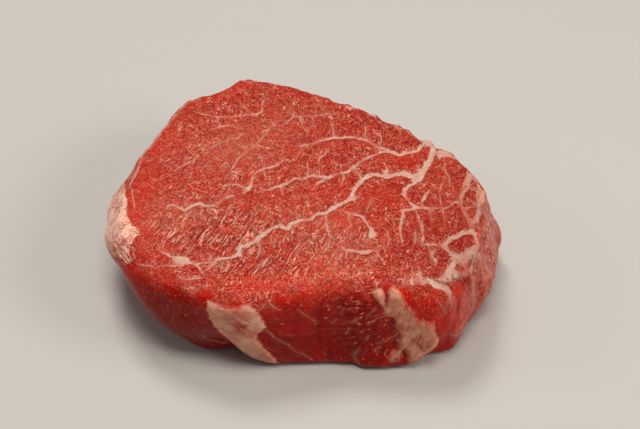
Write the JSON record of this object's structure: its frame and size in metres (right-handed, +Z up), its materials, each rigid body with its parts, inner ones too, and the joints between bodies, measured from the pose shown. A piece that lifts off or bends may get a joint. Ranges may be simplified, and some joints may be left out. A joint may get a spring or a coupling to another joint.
{
  "type": "beef fillet steak",
  "caption": "Raw beef fillet steak, a thick slice cut across the tenderloin, with marbled cut faces and rounded walls carrying patches of fat; lies flat on one cut face.",
  "frame": {"origin": "middle of the bounding box at the level of the resting cut face", "axes": "+Z up out of the upper cut face; X along the longest side of the steak; the low front wall with the larger fat patches faces -Y"},
  "size_m": [0.1158, 0.0904, 0.032],
  "materials": {
    "steak": "moist raw beef, dark coral red with cream fat"
  },
  "bodies": {
    "root": {"steak": "steak"}
  },
  "joints": []
}
